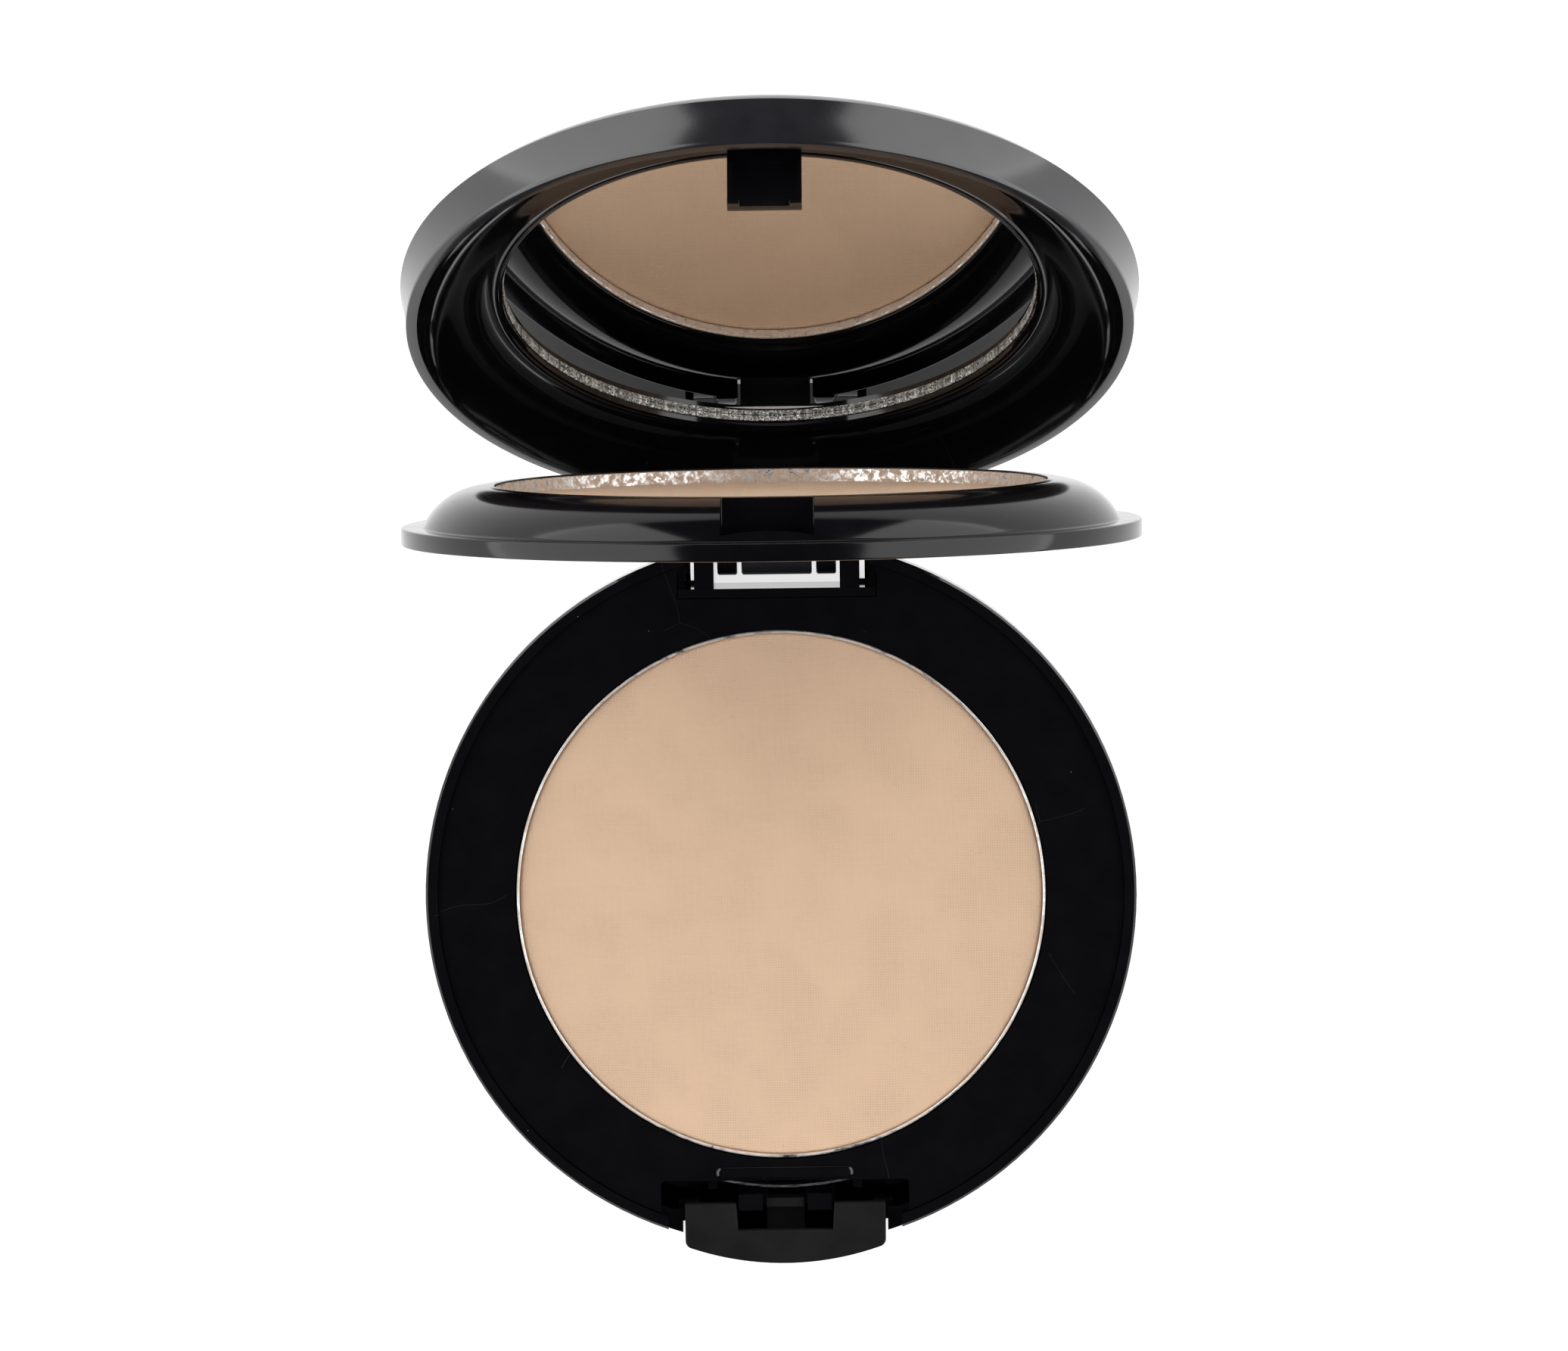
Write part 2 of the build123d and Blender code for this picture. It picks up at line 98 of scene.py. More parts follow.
softbox("softbox_left", -1)
softbox("softbox_right", 1)


# ---------------------------------------------------------------- node helpers
def start_material(name):
    """A new material with its node tree, its shader and the piece's own coordinates, in metres."""
    mat = bpy.data.materials.new(name)
    mat.use_nodes = True
    tree = mat.node_tree
    coords = tree.nodes.new("ShaderNodeTexCoord").outputs["Object"]
    return mat, tree, tree.nodes["Principled BSDF"], coords


def put(tree, socket, value):
    """Links or sets one input."""
    if isinstance(value, bpy.types.NodeSocket):
        tree.links.new(value, socket)
    else:
        socket.default_value = value


def calc(tree, operation, *values, clamp=False):
    """A maths node's result."""
    made = tree.nodes.new("ShaderNodeMath")
    made.operation = operation
    made.use_clamp = clamp
    for socket, value in zip(made.inputs, values):
        put(tree, socket, value)
    return made.outputs[0]


def noise(tree, coords, scale, detail=3.0, distortion=0.0, rough=0.5):
    """A noise value, 0 to 1, with features about 1/scale metres across."""
    made = tree.nodes.new("ShaderNodeTexNoise")
    put(tree, made.inputs["Vector"], coords)
    made.inputs["Scale"].default_value = scale
    made.inputs["Detail"].default_value = detail
    made.inputs["Distortion"].default_value = distortion
    made.inputs["Roughness"].default_value = rough
    return made.outputs["Fac"]


def remap(tree, value, low, high, to_low=0.0, to_high=1.0):
    """Value from low..high to to_low..to_high, clamped."""
    made = tree.nodes.new("ShaderNodeMapRange")
    for key, item in (
        ("Value", value),
        ("From Min", low),
        ("From Max", high),
        ("To Min", to_low),
        ("To Max", to_high),
    ):
        put(tree, made.inputs[key], item)
    return made.outputs["Result"]


def mix(tree, fac, a, b):
    """Colour a to colour b."""
    made = tree.nodes.new("ShaderNodeMix")
    made.data_type = "RGBA"
    put(tree, made.inputs["Factor"], fac)
    for key, colour in (("A", a), ("B", b)):
        linked = isinstance(colour, bpy.types.NodeSocket)
        put(tree, made.inputs[key], colour if linked else (*colour, 1))
    return made.outputs["Result"]


def scaled(colour, factor):
    """A colour made lighter or darker."""
    return [factor * channel for channel in colour]


def stretch(tree, coords, scale):
    """Coordinates scaled along each axis."""
    made = tree.nodes.new("ShaderNodeMapping")
    put(tree, made.inputs["Vector"], coords)
    made.inputs["Scale"].default_value = scale
    return made.outputs["Vector"]


def bump(tree, height, depth, normal=None):
    """A bump of the given depth in metres, on top of another if that is given."""
    made = tree.nodes.new("ShaderNodeBump")
    made.inputs["Distance"].default_value = depth
    put(tree, made.inputs["Height"], height)
    if normal is not None:
        put(tree, made.inputs["Normal"], normal)
    return made.outputs["Normal"]


def specks(tree, coords, cell, size, share):
    """1 inside small specks: cell apart, size across, in metres, in a share of the cells."""
    made = tree.nodes.new("ShaderNodeTexVoronoi")
    made.inputs["Scale"].default_value = 1 / cell
    put(tree, made.inputs["Vector"], coords)
    inside = calc(tree, "LESS_THAN", made.outputs["Distance"], size / cell / 2)
    split = tree.nodes.new("ShaderNodeSeparateColor")
    put(tree, split.inputs[0], made.outputs["Color"])
    chosen = calc(tree, "GREATER_THAN", split.outputs[0], 1 - share)
    return calc(tree, "MULTIPLY", inside, chosen)


def hairlines(tree, coords, cell, width):
    """1 on fine curved hairlines that come and go, cell apart and width across, in metres."""
    wobble = tree.nodes.new("ShaderNodeTexNoise")
    wobble.inputs["Scale"].default_value = 0.6 / cell
    put(tree, wobble.inputs["Vector"], coords)
    shrunk = tree.nodes.new("ShaderNodeVectorMath")
    shrunk.operation = "SCALE"
    shrunk.inputs["Scale"].default_value = cell
    put(tree, shrunk.inputs[0], wobble.outputs["Color"])
    bent = tree.nodes.new("ShaderNodeVectorMath")
    bent.operation = "ADD"
    put(tree, bent.inputs[0], coords)
    put(tree, bent.inputs[1], shrunk.outputs[0])
    cracks = tree.nodes.new("ShaderNodeTexVoronoi")
    cracks.feature = "DISTANCE_TO_EDGE"
    cracks.inputs["Scale"].default_value = 1 / cell
    put(tree, cracks.inputs["Vector"], bent.outputs[0])
    line = calc(tree, "LESS_THAN", cracks.outputs["Distance"], width / cell)
    mask = calc(tree, "GREATER_THAN", noise(tree, coords, 1.3 / cell, 1.0), 0.56)
    return calc(tree, "MULTIPLY", line, mask)


# ---------------------------------------------------------------- materials
# lengths in metres; noise scales in features per metre
DUST_COLOUR = (0.8, 0.78, 0.74)
DUST_CELL = 1.3 * MM
DUST_SIZE = 0.1 * MM
DUST_LEVEL = 0.2
MARK_COLOUR = (0.3, 0.3, 0.32)
MARK_CELL = 17 * MM
MARK_WIDTH = 0.035 * MM
GLOSS_PATCHES = 90
TONE_PATCHES = 300
MOULD_WAVES = 130
MOULD_GRAIN = 5200


def plastic(name, colour, rough, spread, grain=0.0, specular=0.5, dust=0.03, lines=0.0):
    """Black moulded plastic: uneven gloss, moulding grain, dust and hairline marks."""
    mat, tree, shader, coords = start_material(name)
    patches = noise(tree, coords, GLOSS_PATCHES, 4.0, 0.4)
    dirt = specks(tree, coords, DUST_CELL, DUST_SIZE, dust)
    cloud = remap(tree, noise(tree, coords, TONE_PATCHES), 0.3, 0.7)
    tone = mix(tree, cloud, colour, scaled(colour, 1.5))
    tone = mix(tree, calc(tree, "MULTIPLY", dirt, DUST_LEVEL), tone, DUST_COLOUR)
    if lines:
        marks = hairlines(tree, coords, MARK_CELL, MARK_WIDTH)
        tone = mix(tree, calc(tree, "MULTIPLY", marks, lines), tone, MARK_COLOUR)
    put(tree, shader.inputs["Base Color"], tone)
    clean = remap(tree, patches, 0.3, 0.7, rough - spread, rough + spread)
    rougher = calc(tree, "ADD", clean, calc(tree, "MULTIPLY", dirt, 0.5), clamp=True)
    put(tree, shader.inputs["Roughness"], rougher)
    shader.inputs["Specular IOR Level"].default_value = specular
    wave = bump(tree, noise(tree, coords, MOULD_WAVES, 1.0), 0.02 * MM)
    if grain:
        wave = bump(tree, noise(tree, coords, MOULD_GRAIN, 2.0), grain * MM, wave)
    put(tree, shader.inputs["Normal"], wave)
    return mat


THREAD_PITCH = 0.28 * MM
THREAD_WANDER = 0.35 * MM
WANDER_PATCHES = 240
IMPRINT_PATCHES = 160
POWDER_CLOUDS = 70
POWDER_GRAIN = 7000
PIT_CELL = 1.7 * MM
PIT_SIZE = 0.22 * MM
PIT_SHARE = 0.12


def powder_material(name, light, deep, axes=(0, 1)):
    """Pressed powder with the imprint of the pressing cloth, fine grain and small pits, with painted
    shade in the pits.
    """
    mat, tree, shader, coords = start_material(name)
    wander = noise(tree, coords, WANDER_PATCHES, 2.0)
    split = tree.nodes.new("ShaderNodeSeparateXYZ")
    put(tree, split.inputs[0], coords)
    threads = []
    for axis in axes:
        moved = calc(tree, "MULTIPLY_ADD", wander, THREAD_WANDER, split.outputs[axis])
        phase = calc(tree, "MULTIPLY", moved, 2 * math.pi / THREAD_PITCH)
        threads.append(calc(tree, "SINE", phase))
    crossings = calc(tree, "MULTIPLY", threads[0], threads[1])
    weave = calc(tree, "ADD", threads[0], threads[1])
    weave = calc(tree, "MULTIPLY_ADD", crossings, 0.6, weave)
    shown = remap(tree, noise(tree, coords, IMPRINT_PATCHES, 2.0), 0.3, 0.6, 0.35, 1.0)
    level = calc(tree, "MULTIPLY", remap(tree, weave, -2.0, 2.0), shown)
    cloud = remap(tree, noise(tree, coords, POWDER_CLOUDS, 4.0, 0.3), 0.3, 0.7)
    grain = remap(tree, noise(tree, coords, POWDER_GRAIN, 2.0), 0.25, 0.75)
    pits = specks(tree, coords, PIT_CELL, PIT_SIZE, PIT_SHARE)
    tone = mix(tree, calc(tree, "MULTIPLY", cloud, 0.35), light, deep)
    tone = mix(tree, calc(tree, "MULTIPLY", level, 0.3), tone, scaled(deep, 0.82))
    tone = mix(tree, calc(tree, "MULTIPLY", grain, 0.14), tone, scaled(light, 1.13))
    # painted shade: the pits are darkened in colour as well as sunk in the bump
    tone = mix(tree, calc(tree, "MULTIPLY", pits, 0.35), tone, scaled(deep, 0.72))
    put(tree, shader.inputs["Base Color"], tone)
    shader.inputs["Roughness"].default_value = 0.95
    shader.inputs["Specular IOR Level"].default_value = 0.15
    shader.inputs["Sheen Weight"].default_value = 0.05
    height = calc(tree, "SUBTRACT", level, calc(tree, "MULTIPLY", pits, 1.5))
    normal = bump(tree, height, 0.055 * MM)
    put(tree, shader.inputs["Normal"], bump(tree, grain, 0.02 * MM, normal))
    return mat


METAL_DARK = (0.62, 0.61, 0.6)
METAL_LIGHT = (0.93, 0.92, 0.9)
SMEAR_COLOUR = (0.54, 0.4, 0.29)
DRAWN_LINES = 900
DRAWN_DENTS = 800


def pan_material(name, smear_top, smear_patches):
    """Bright drawn aluminium, uneven, with powder smeared over its inner wall and rim."""
    mat, tree, shader, coords = start_material(name)
    drawn = noise(tree, stretch(tree, coords, (1, 1, 9)), DRAWN_LINES)
    patches = noise(tree, coords, smear_patches, 5.0, 0.3, 0.75)
    smear = remap(tree, patches, 0.42, 0.56, 0.0, smear_top)
    bare = mix(tree, drawn, METAL_DARK, METAL_LIGHT)
    put(tree, shader.inputs["Base Color"], mix(tree, smear, bare, SMEAR_COLOUR))
    put(tree, shader.inputs["Metallic"], calc(tree, "SUBTRACT", 1.0, smear))
    clean = remap(tree, drawn, 0.3, 0.7, 0.22, 0.4)
    rougher = calc(tree, "ADD", clean, calc(tree, "MULTIPLY", smear, 0.5), clamp=True)
    put(tree, shader.inputs["Roughness"], rougher)
    dents = bump(tree, noise(tree, coords, DRAWN_DENTS, 2.0), 0.03 * MM)
    put(tree, shader.inputs["Normal"], bump(tree, patches, 0.02 * MM, dents))
    return mat


FACET_DARK = (0.12, 0.13, 0.12)
FACET_LIGHT = (1.0, 1.0, 0.97)
SLIVER_DARK = (0.16, 0.16, 0.14)
FACETS = 3200
SLIVERS = 1200


def ground_glass(name):
    """The mirror's ground edge: greenish glass broken into bright and dark slivers."""
    mat, tree, shader, coords = start_material(name)
    facets = noise(tree, coords, FACETS, 2.0, 1.2, 0.7)
    slivers = noise(tree, coords, SLIVERS, 3.0, 1.5)
    tone = mix(tree, remap(tree, facets, 0.42, 0.56), FACET_DARK, FACET_LIGHT)
    tone = mix(tree, remap(tree, slivers, 0.36, 0.5), SLIVER_DARK, tone)
    put(tree, shader.inputs["Base Color"], tone)
    put(tree, shader.inputs["Metallic"], remap(tree, slivers, 0.4, 0.6, 0.35, 0.9))
    shader.inputs["Roughness"].default_value = 0.16
    put(tree, shader.inputs["Normal"], bump(tree, facets, 0.35 * MM))
    return mat


SILVER_COLOUR = (0.79, 0.785, 0.775)
SILVER_DUST = (0.8, 0.78, 0.75)
HAZE_PATCHES = 60


def silver_material(name):
    """Mirror silver with a faint haze and fine dust."""
    mat, tree, shader, coords = start_material(name)
    dirt = specks(tree, coords, 1.6 * MM, 0.09 * MM, 0.05)
    haze = remap(tree, noise(tree, coords, HAZE_PATCHES), 0.3, 0.75, 0.0, 0.012)
    put(tree, shader.inputs["Base Color"], mix(tree, dirt, SILVER_COLOUR, SILVER_DUST))
    put(tree, shader.inputs["Roughness"], haze)
    shader.inputs["Metallic"].default_value = 1.0
    return mat


def soft_material(name, colour, rough, cell, depth, through=0.0):
    """Glue, foam or paper: mottled colour over a fine uneven surface, cell and depth in mm."""
    mat, tree, shader, coords = start_material(name)
    cells = noise(tree, coords, 1 / (cell * MM))
    tone = mix(tree, remap(tree, cells, 0.3, 0.7), scaled(colour, 0.82), colour)
    put(tree, shader.inputs["Base Color"], tone)
    shader.inputs["Roughness"].default_value = rough
    shader.inputs["Subsurface Weight"].default_value = through
    shader.inputs["Subsurface Scale"].default_value = MM
    put(tree, shader.inputs["Normal"], bump(tree, cells, depth * MM))
    return mat


STEEL_DARK = (0.42, 0.42, 0.43)
STEEL_LIGHT = (0.7, 0.7, 0.71)
STEEL_LINES = 9000


def steel_material(name):
    """Drawn spring steel with fine lengthwise lines."""
    mat, tree, shader, coords = start_material(name)
    lines = noise(tree, stretch(tree, coords, (0.1, 1, 1)), STEEL_LINES, 2.0)
    put(tree, shader.inputs["Base Color"], mix(tree, lines, STEEL_DARK, STEEL_LIGHT))
    put(tree, shader.inputs["Roughness"], remap(tree, lines, 0.3, 0.7, 0.2, 0.4))
    shader.inputs["Metallic"].default_value = 1.0
    put(tree, shader.inputs["Normal"], bump(tree, lines, 0.01 * MM))
    return mat


GLOSS_BLACK = (0.0022, 0.002, 0.0026)
SATIN_BLACK = (0.010, 0.010, 0.0115)
MATTE_BLACK = (0.0075, 0.0074, 0.0074)
POWDER_LIGHT = (0.64, 0.446, 0.308)
POWDER_DEEP = (0.59, 0.409, 0.28)
# painted light: the upper powder is the same as the lower, its colours made 1.15 times lighter to stand
# in for more light
UPPER_LIGHT_PAINTED_LIT = (0.74, 0.516, 0.356)
UPPER_DEEP_PAINTED_LIT = (0.68, 0.472, 0.323)

gloss = plastic("gloss_black", GLOSS_BLACK, 0.06, 0.02, dust=0.035, lines=0.03)
tray_gloss = plastic("tray_gloss", GLOSS_BLACK, 0.12, 0.03, specular=0.28)
satin = plastic("satin_black", SATIN_BLACK, 0.17, 0.02, grain=0.003, specular=0.6, dust=0.02)
matte = plastic("matte_black", MATTE_BLACK, 0.62, 0.05, grain=0.012, specular=0.06, dust=0.0)
metal = pan_material("pan_metal", 0.55, 520)
tray_metal = pan_material("tray_pan_metal", 0.95, 1300)
powder = powder_material("pressed_powder", POWDER_LIGHT, POWDER_DEEP)
# the upper powder stands upright, so its imprint runs along x and z; its colours are the lower powder's
# painted lighter, as painted light
tray_powder = powder_material("tray_powder_painted_lighter", UPPER_LIGHT_PAINTED_LIT, UPPER_DEEP_PAINTED_LIT, axes=(0, 2))
silver = silver_material("mirror_silver")
edge_glass = ground_glass("ground_glass")
steel = steel_material("steel")
glue = soft_material("hot_glue", (0.82, 0.79, 0.7), 0.35, cell=1.2, depth=0.05, through=0.3)
foam = soft_material("foam_tape", (0.85, 0.85, 0.84), 0.9, cell=0.25, depth=0.05)
paper = soft_material("label_paper", (0.82, 0.82, 0.81), 0.6, cell=0.15, depth=0.008)

look = {
    "base_glue_dots": glue,
    "bottom_label": paper,
    "hinge_pin": steel,
    "button_spring": steel,
    "push_button": matte,
    "tray_bottom_plate": tray_gloss,
    "tray_glue_dots": glue,
    "mirror_tape": foam,
}
for name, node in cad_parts.items():
    node.data.materials.clear()
    node.data.materials.append(look.get(name, gloss))

# ---------------------------------------------------------------- sizes of the closed stack, in mm
OUTER_R = 39.6
TRAY_Z = 11.1
FLANGE_Z = 13.0
COLLAR_Z = 17.3
LID_Z = 13.1
LID_TOP = 21.1
LID_ROOF_Z = 19.9
LID_R = 39.85
LID_BORE = 38.0
LID_ROOF_R = 34.8
CROWN_RISE = 0.4
SKIRT_TOP = LID_Z + 5.0
FRAME_R = 37.95
FRAME_WALL_R = 37.0
FRAME_T = 0.6
BEAD_Z = 17.4
MIRROR_R = 28.8
MIRROR_Z = 17.7
MIRROR_BACK = 19.2

PAN_R = 29.5
PAN_WALL = 0.35
PAN_CORNER = 0.8
PAN_LIP = 0.17
BASE_PAN_Z = 6.6
BASE_PAN_H = 3.9
TRAY_PAN_H = 4.2
TRAY_PAN_Z = COLLAR_Z - 0.15 - TRAY_PAN_H
BASE_POWDER_TOP = BASE_PAN_Z + BASE_PAN_H - 0.4
TRAY_POWDER_TOP = TRAY_PAN_Z + TRAY_PAN_H - 1.35

HINGE_Y = 38.9
HINGE_Z = 8.2
TRAY_OPEN = 90
LID_OPEN = 122
KNUCKLE_R = 3.3
KNUCKLE_ROUND = 0.15
BORE_R = 1.05
BORE_X = (-7.0, 7.0)
KNUCKLE_ARM_Y = (36.2, HINGE_Y + 0.4)
TRAY_KNUCKLE = (4.4, 6.6)
LID_KNUCKLE = (-3.9, 3.9)
BEHIND_HINGE = 45

SLOT_X = (-4.85, 4.85)
SLOT_Y = (-36.6, -30.3)
HOOK_X = (-3.9, 3.9)
HOOK_Y = (-33.3, -32.3)
HOOK_TIP = 9.0
BARB_X = (2.6, 3.9)
BARB_Y = (-33.9, -33.2)
BARB_TOP = 9.6

RING_TURNS = 288
ROD_TURNS = 96
SHARP_ANGLE = 32


# ---------------------------------------------------------------- mesh helpers
def opened(angle):
    """Where a closed piece goes when it is swung open about the hinge pin."""
    hinge = Vector((0, HINGE_Y * MM, HINGE_Z * MM))
    swing = Matrix.Rotation(math.radians(-angle), 4, "X")
    return Matrix.Translation(hinge) @ swing @ Matrix.Translation(-hinge)


def arc(start, middle, end, steps=10):
    """Points along the arc through three (radius, height) points."""
    (ax, ay), (bx, by), (cx, cy) = start, middle, end
    a2, b2, c2 = ax**2 + ay**2, bx**2 + by**2, cx**2 + cy**2
    d = 2 * (ax * (by - cy) + bx * (cy - ay) + cx * (ay - by))
    ux = (a2 * (by - cy) + b2 * (cy - ay) + c2 * (ay - by)) / d
    uy = (a2 * (cx - bx) + b2 * (ax - cx) + c2 * (bx - ax)) / d
    r = math.hypot(ax - ux, ay - uy)
    first = math.atan2(ay - uy, ax - ux)
    mid = math.atan2(by - uy, bx - ux)
    last = math.atan2(cy - uy, cx - ux)
    sweep = (last - first) % (2 * math.pi)
    if (mid - first) % (2 * math.pi) > sweep:
        sweep -= 2 * math.pi
    angles = [first + sweep * k / steps for k in range(steps + 1)]
    return [(ux + r * math.cos(a), uy + r * math.sin(a)) for a in angles]


def finished(name, bm):
    """An object from a bmesh, with its normals outwards."""
    bmesh.ops.recalc_face_normals(bm, faces=bm.faces)
    mesh = bpy.data.meshes.new(name)
    bm.to_mesh(mesh)
    bm.free()
    made = bpy.data.objects.new(name, mesh)
    scene.collection.objects.link(made)
    return made


def turned(name, outline, turns=RING_TURNS):
    """A closed turned solid from its half section in mm; points at radius 0 lie on the axis."""
    bm = bmesh.new()
    angles = [2 * math.pi * k / turns for k in range(turns)]
    rings = []
    for r, z in outline:
        if r == 0:
            rings.append([bm.verts.new((0, 0, z * MM))])
        else:
            around = [(r * MM * math.cos(a), r * MM * math.sin(a), z * MM) for a in angles]
            rings.append([bm.verts.new(point) for point in around])
    for ring, after in zip(rings, rings[1:] + rings[:1]):
        if len(ring) == 1 and len(after) == 1:
            continue
        for k in range(turns):
            n = (k + 1) % turns
            if len(ring) == 1:
                bm.faces.new((ring[0], after[k], after[n]))
            elif len(after) == 1:
                bm.faces.new((ring[k], ring[n], after[0]))
            else:
                bm.faces.new((ring[k], ring[n], after[n], after[k]))
    return finished(name, bm)


def brick(x, y, z, round_by=0.0):
    """A box from its ends along each axis in mm, with its edges rounded."""
    bm = bmesh.new()
    bmesh.ops.create_cube(bm, size=1)
    for v in bm.verts:
        for axis, ends in enumerate((x, y, z)):
            v.co[axis] = (ends[0] if v.co[axis] < 0 else ends[1]) * MM
    if round_by:
        width = round_by * MM
        bmesh.ops.bevel(bm, geom=bm.edges, offset=width, segments=3, profile=0.5, affect="EDGES")
    return finished("tool", bm)


def rod(ends, r, round_by=0.0):
    """A cylinder on the hinge axis between two x ends, in mm."""
    x_from, x_to = ends
    outline = [
        (0, x_from),
        (r - round_by, x_from),
        (r, x_from + round_by),
        (r, x_to - round_by),
        (r - round_by, x_to),
        (0, x_to),
    ]
    made = turned("tool", outline, ROD_TURNS)
    lay = Matrix.Rotation(math.pi / 2, 4, "Y")
    made.data.transform(Matrix.Translation((0, HINGE_Y * MM, HINGE_Z * MM)) @ lay)
    return made


def shaped(piece, steps):
    """The piece after the listed joins and cuts; the tools are used up."""
    for operation, tool in steps:
        modifier = piece.modifiers.new(operation, "BOOLEAN")
        modifier.operation = operation
        modifier.solver = "EXACT"
        modifier.object = tool
        bpy.context.view_layer.update()
        evaluated = piece.evaluated_get(bpy.context.evaluated_depsgraph_get())
        done = bpy.data.meshes.new_from_object(evaluated)
        piece.modifiers.clear()
        piece.data = done
        bpy.data.objects.remove(tool)
    return piece


def placed(piece, body, material, replaced, angle=0.0):
    """Shading, material and place of a finer piece that stands for a CAD node."""
    mesh = piece.data
    mesh.materials.clear()
    mesh.materials.append(material)
    mesh.transform(opened(angle))
    mesh.shade_smooth()
    mesh.set_sharp_from_angle(angle=math.radians(SHARP_ANGLE))
    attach(piece, body)
    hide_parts(replaced)


# ---------------------------------------------------------------- pans and powder
CAKE_EDGE_R = 28.0
# waves in the cake's edge: how many around, how high, and how the seed turns them
EDGE_WAVES = ((5, 1.0, 1), (13, 0.7, 2), (31, 0.5, 3))


def pan_section(bottom, height):
    """Half section of a drawn pan with rolled corners and a softened rim."""
    inside = PAN_R - PAN_WALL
    top = bottom + height
    floor_top = bottom + PAN_WALL
    outer_corner = arc(
        (PAN_R - PAN_CORNER, bottom), (PAN_R - 0.23, bottom + 0.23), (PAN_R, bottom + PAN_CORNER)
    )
    rim = arc((PAN_R, top - PAN_LIP), (PAN_R - 0.175, top), (inside, top - PAN_LIP))
    inner_corner = arc(
        (inside, bottom + PAN_CORNER), (inside - 0.13, floor_top + 0.13), (inside - 0.45, floor_top)
    )
    return [(0, bottom)] + outer_corner + rim + inner_corner + [(0, floor_top)]


def powder_section(bottom, top):
    """Half section of a powder cake with a soft edge."""
    inside = PAN_R - PAN_WALL - 0.01
    low = bottom + PAN_WALL + 0.01
    edge = arc((inside, top - 0.35), (inside - 0.1, top - 0.1), (inside - 0.4, top - 0.01))
    return [(0, low), (inside - 0.5, low), (inside, low + 0.5)] + edge + [(inside - 3, top), (0, top)]


def uneven_edge(piece, top, seed):
    """Lets the cake's upper edge wander a little, as a pressed edge does."""
    for v in piece.data.vertices:
        r = math.hypot(v.co.x, v.co.y)
        if r > CAKE_EDGE_R * MM and v.co.z > (top - 0.3) * MM:
            a = math.atan2(v.co.y, v.co.x)
            drop = sum(size * math.sin(count * a + turn * seed) for count, size, turn in EDGE_WAVES)
            v.co.z += 0.03 * MM * (drop - 2.2) * (r / MM - CAKE_EDGE_R)


lower_pan = turned("lower_pan", pan_section(BASE_PAN_Z, BASE_PAN_H))
placed(lower_pan, "base", metal, "base_pan")

lower_cake = turned("lower_powder_cake", powder_section(BASE_PAN_Z, BASE_POWDER_TOP))
uneven_edge(lower_cake, BASE_POWDER_TOP, 0.7)
placed(lower_cake, "base", powder, "base_powder")

upper_pan = turned("upper_pan", pan_section(TRAY_PAN_Z, TRAY_PAN_H))
placed(upper_pan, "tray", tray_metal, "tray_pan", TRAY_OPEN)

upper_cake = turned("upper_powder_cake", powder_section(TRAY_PAN_Z, TRAY_POWDER_TOP))
uneven_edge(upper_cake, TRAY_POWDER_TOP, 2.1)
placed(upper_cake, "tray", tray_powder, "tray_powder", TRAY_OPEN)

# ---------------------------------------------------------------- tray ring
DOME_FOOT = (37.14, FLANGE_Z + 0.24)
DOME_MIDDLE = (34.6, FLANGE_Z + 3.05)
DOME_TOP = (30.25, COLLAR_Z - 0.08)
FLANGE_EDGE = 0.25
TRAY_STEP_R = 38.1
WELL_R = PAN_R + 0.05
WELL_WALL_R = PAN_R + 1.2
LID_KNUCKLE_GAP = (-4.2, 4.2)

tray_section = (
    [
        (TRAY_STEP_R, TRAY_Z),
        (OUTER_R - 0.2, TRAY_Z),
        (OUTER_R - 0.06, TRAY_Z + 0.06),
        (OUTER_R, TRAY_Z + 0.2),
    ]
    + arc(
        (OUTER_R, FLANGE_Z - FLANGE_EDGE),
        (OUTER_R - 0.07, FLANGE_Z - 0.07),
        (OUTER_R - FLANGE_EDGE, FLANGE_Z),
        5,
    )
    + arc((37.5, FLANGE_Z), (37.28, FLANGE_Z + 0.06), DOME_FOOT, 5)
    + arc(DOME_FOOT, DOME_MIDDLE, DOME_TOP, 36)[1:]
    + [
        (30.1, COLLAR_Z - 0.03),
        (29.95, COLLAR_Z),
        (PAN_R + 0.1, COLLAR_Z),
        (WELL_R, COLLAR_Z - 0.05),
        (WELL_R, TRAY_Z + 1.2),
        (WELL_WALL_R, TRAY_Z + 1.2),
        (WELL_WALL_R, COLLAR_Z - 1.4),
        (34.2, FLANGE_Z + 1.9),
        (36.0, TRAY_Z + 1.5),
        (36.6, TRAY_Z + 1.1),
        (TRAY_STEP_R, TRAY_Z + 1.1),
    ]
)
tray_steps = [("DIFFERENCE", brick(SLOT_X, SLOT_Y, (TRAY_Z - 1, COLLAR_Z + 1), 0.15))]
for side in (-1, 1):
    leaf = sorted(side * x for x in TRAY_KNUCKLE)
    tray_steps.append(("UNION", rod(leaf, KNUCKLE_R, KNUCKLE_ROUND)))
    tray_steps.append(("UNION", brick(leaf, KNUCKLE_ARM_Y, (HINGE_Z, FLANGE_Z - 0.05))))
lid_way = brick(LID_KNUCKLE_GAP, (35.3, BEHIND_HINGE), (HINGE_Z - 5, COLLAR_Z))
tray_steps.append(("DIFFERENCE", lid_way))
tray_steps.append(("DIFFERENCE", rod(BORE_X, BORE_R)))
tray_ring = shaped(turned("tray_ring", tray_section), tray_steps)
placed(tray_ring, "tray", tray_gloss, "tray_shell", TRAY_OPEN)

# ---------------------------------------------------------------- lid
LID_SIDE_MIDDLE = (39.44, LID_Z + 3.0)
SHOULDER_MIDDLE = (38.8, LID_Z + 6.05)
SHOULDER = (36.6, LID_TOP - 0.8)
CROWN_MIDDLE = (18.5, LID_TOP + 0.1)

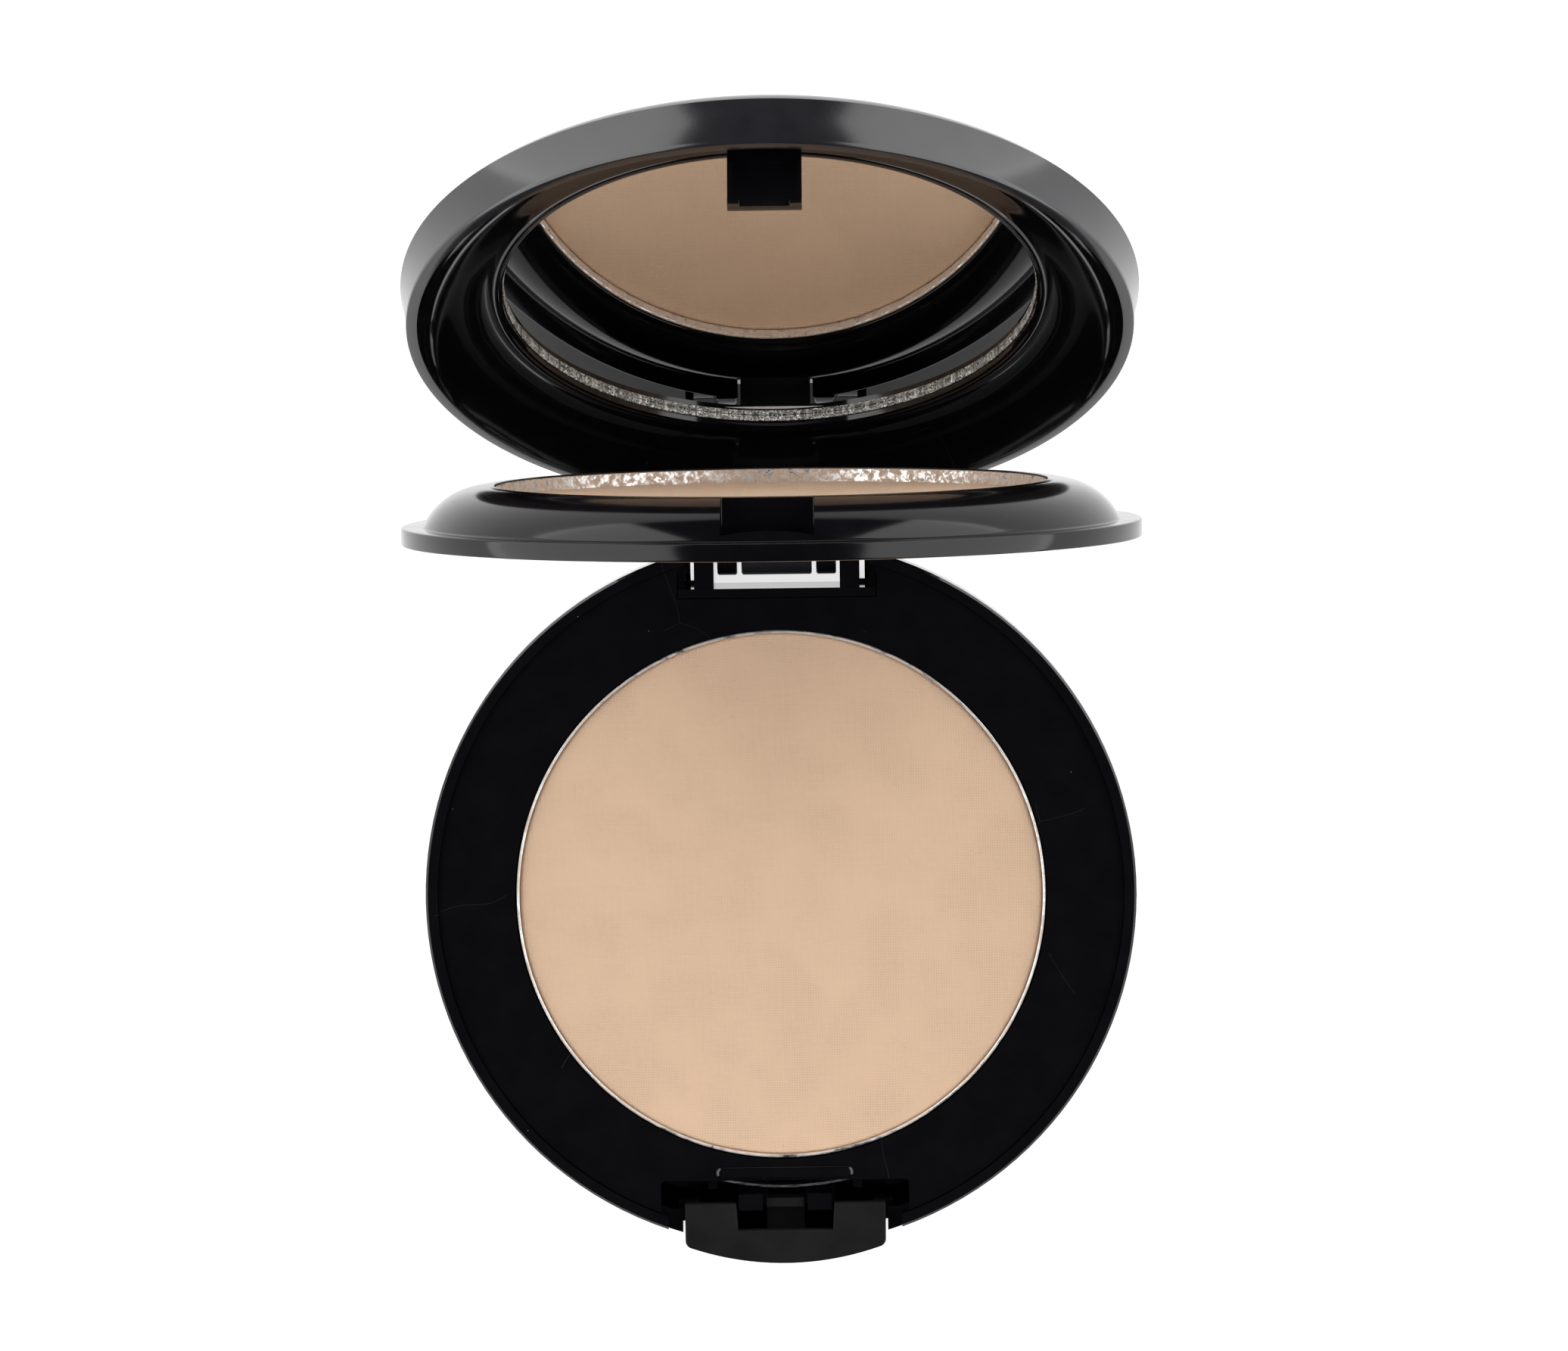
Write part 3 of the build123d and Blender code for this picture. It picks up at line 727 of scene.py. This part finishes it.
lid_section = (
    [(LID_BORE, LID_Z), (39.0, LID_Z), (39.13, LID_Z + 0.06)]
    + arc((39.2, LID_Z + 0.2), LID_SIDE_MIDDLE, (LID_R, SKIRT_TOP), 14)
    + arc((LID_R, SKIRT_TOP), SHOULDER_MIDDLE, SHOULDER, 16)[1:]
    + arc(SHOULDER, CROWN_MIDDLE, (0.0, LID_TOP + CROWN_RISE), 24)[1:-1]
    + [
        (0, LID_TOP + CROWN_RISE),
        (0, LID_ROOF_Z),
        (LID_ROOF_R, LID_ROOF_Z),
        (LID_BORE, SKIRT_TOP),
    ]
)
lid_steps = [
    ("UNION", rod(LID_KNUCKLE, KNUCKLE_R, KNUCKLE_ROUND)),
    ("UNION", brick(LID_KNUCKLE, KNUCKLE_ARM_Y, (HINGE_Z, LID_Z + 1.4))),
    ("DIFFERENCE", rod(BORE_X, BORE_R)),
]
lid_case = shaped(turned("lid_case", lid_section), lid_steps)
placed(lid_case, "lid", satin, "lid_shell", LID_OPEN)

# ---------------------------------------------------------------- mirror frame and latch hook
BOWL_RIM = (FRAME_R, LID_Z + 0.35)
BOWL_MIDDLE = (35.2, LID_Z + 3.4)
BOWL_BOTTOM = (30.4, BEAD_Z + 0.2)
MIRROR_SEAT_R = MIRROR_R + 0.12

frame_section = (
    arc(BOWL_RIM, BOWL_MIDDLE, BOWL_BOTTOM, 36)
    + arc((30.02, BEAD_Z + 0.2), (29.6, BEAD_Z), (29.2, BEAD_Z + 0.2))
    + [
        (MIRROR_SEAT_R, BEAD_Z + 0.3),
        (MIRROR_SEAT_R, MIRROR_BACK),
        (0, MIRROR_BACK),
        (0, MIRROR_BACK + FRAME_T),
        (MIRROR_R + 1.2, MIRROR_BACK + FRAME_T),
        (MIRROR_R + 1.4, BEAD_Z + 1.5),
        (35.2, LID_Z + 4.7),
        (FRAME_WALL_R, LID_Z + 3.2),
        (FRAME_WALL_R, SKIRT_TOP - 0.1),
        (FRAME_R, SKIRT_TOP - 0.1),
    ]
)
frame_steps = [
    ("DIFFERENCE", brick((-4.0, 4.0), (36.1, BEHIND_HINGE), (LID_Z - 1, LID_Z + 1.5))),
    ("UNION", brick(HOOK_X, HOOK_Y, (HOOK_TIP, BEAD_Z + 0.6), 0.08)),
]
for side in (-1, 1):
    barb = sorted(side * x for x in BARB_X)
    frame_steps.append(("UNION", brick(barb, BARB_Y, (HOOK_TIP, BARB_TOP), 0.06)))
mirror_frame = shaped(turned("mirror_frame", frame_section), frame_steps)
placed(mirror_frame, "lid", gloss, "lid_frame", LID_OPEN)

# ---------------------------------------------------------------- mirror: ground edge and silvered back
MIRROR_DEEP = MIRROR_Z + 1.16  # the silver lies behind the glass
MIRROR_LIP = MIRROR_DEEP - 0.5
MIRROR_TILT = 0.3
EDGE_IN = 28.7
EDGE_OUT = 28.86
SILVER_R = 28.69
SILVER_T = 0.14

edge_section = arc(
    (EDGE_OUT, MIRROR_LIP), (28.74, MIRROR_LIP + 0.03), (EDGE_IN, MIRROR_LIP + 0.14), 4
) + [(EDGE_IN, MIRROR_DEEP + 0.1), (EDGE_OUT, MIRROR_DEEP + 0.1)]
mirror_edge = turned("mirror_edge", edge_section)
placed(mirror_edge, "lid", edge_glass, "mirror_glass", LID_OPEN)

silver_section = [
    (0, MIRROR_DEEP),
    (SILVER_R, MIRROR_DEEP),
    (SILVER_R, MIRROR_DEEP + SILVER_T),
    (0, MIRROR_DEEP + SILVER_T),
]
silver_disc = turned("mirror_silver", silver_section)
middle = Vector((0, 0, MIRROR_DEEP * MM))
tip = Matrix.Rotation(math.radians(MIRROR_TILT), 4, "X")
silver_disc.data.transform(Matrix.Translation(middle) @ tip @ Matrix.Translation(-middle))
placed(silver_disc, "lid", silver, "mirror_glass", LID_OPEN)

# ---------------------------------------------------------------- floor
FLOOR_SIZE = 6
FLOOR_DARK = (0.44, 0.44, 0.44)
FLOOR_LIGHT = (0.47, 0.47, 0.47)
FLOOR_GLOW = 0.75

bpy.ops.mesh.primitive_plane_add(size=FLOOR_SIZE, location=(0, 0, 0))
floor = bpy.context.object
floor.name = "floor"
mat, tree, shader, coords = start_material("floor")
put(tree, shader.inputs["Base Color"], mix(tree, noise(tree, coords, 40), FLOOR_DARK, FLOOR_LIGHT))
shader.inputs["Roughness"].default_value = 0.8
shader.inputs["Specular IOR Level"].default_value = 0.1
shader.inputs["Emission Color"].default_value = (1, 1, 1, 1)
shader.inputs["Emission Strength"].default_value = FLOOR_GLOW
floor.data.materials.append(mat)
